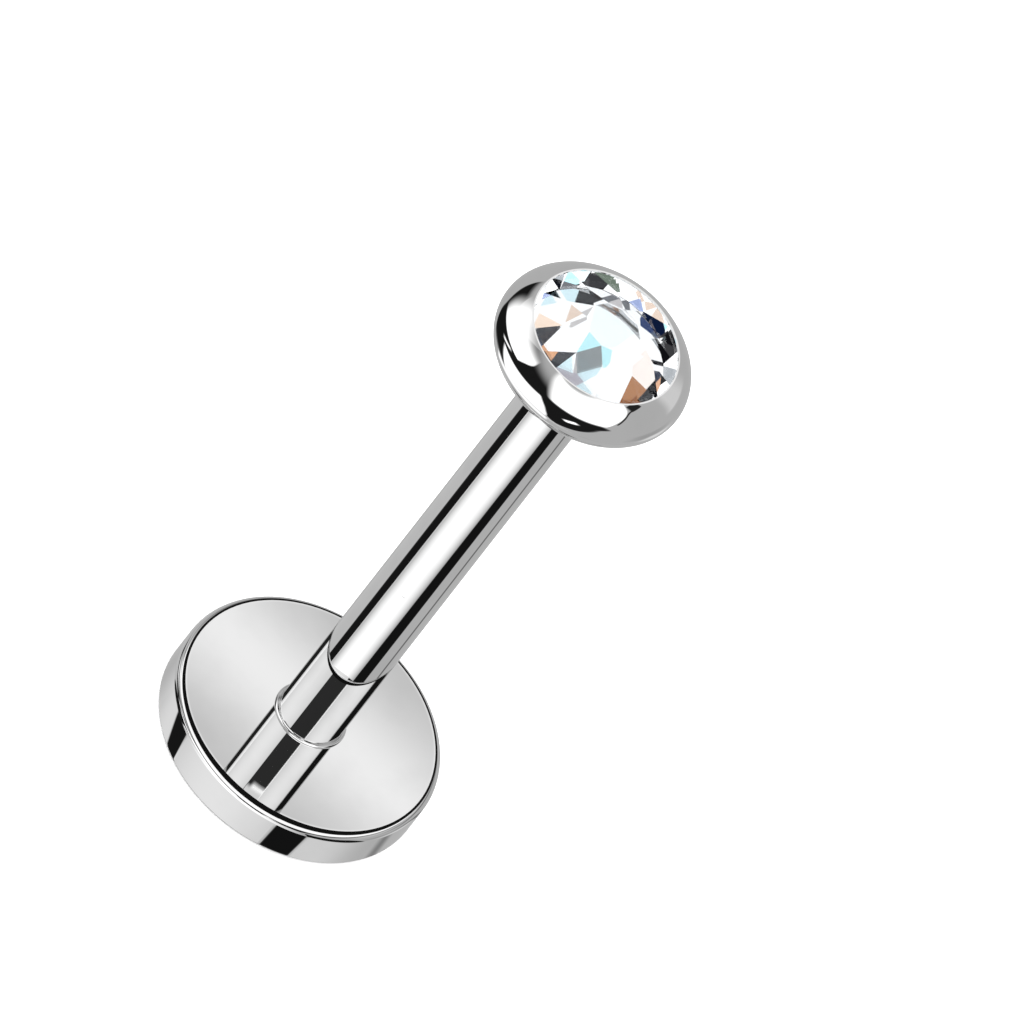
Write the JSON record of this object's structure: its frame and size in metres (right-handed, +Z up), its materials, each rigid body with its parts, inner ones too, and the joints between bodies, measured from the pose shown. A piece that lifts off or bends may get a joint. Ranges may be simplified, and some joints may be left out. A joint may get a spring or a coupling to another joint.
{
  "type": "labret stud",
  "caption": "Push-in labret stud: a flat disc back with a slim hollow post, and a rounded bezel setting holding a faceted clear crystal on a straight pin.",
  "frame": {"origin": "middle of the disc's flat underside, where the stud stands", "axes": "+Z up the post, from the disc to the crystal; the part is round about Z, and one main facet of the crystal faces 20.8 degrees from +X towards +Y"},
  "size_m": [0.005, 0.0048, 0.0127],
  "materials": {
    "back_metal": "mirror-polished surgical steel",
    "setting_metal": "mirror-polished surgical steel",
    "crystal": "cut and polished clear crystal"
  },
  "bodies": {
    "back": {"labret_back": "back_metal"},
    "top": {"bezel_setting": "setting_metal", "crystal": "crystal"}
  },
  "joints": [
    {"name": "top_pull", "type": "slide", "parent": "back", "child": "top", "axis": [0, 0, 1], "range_m": [0, 0.0084]}
  ]
}
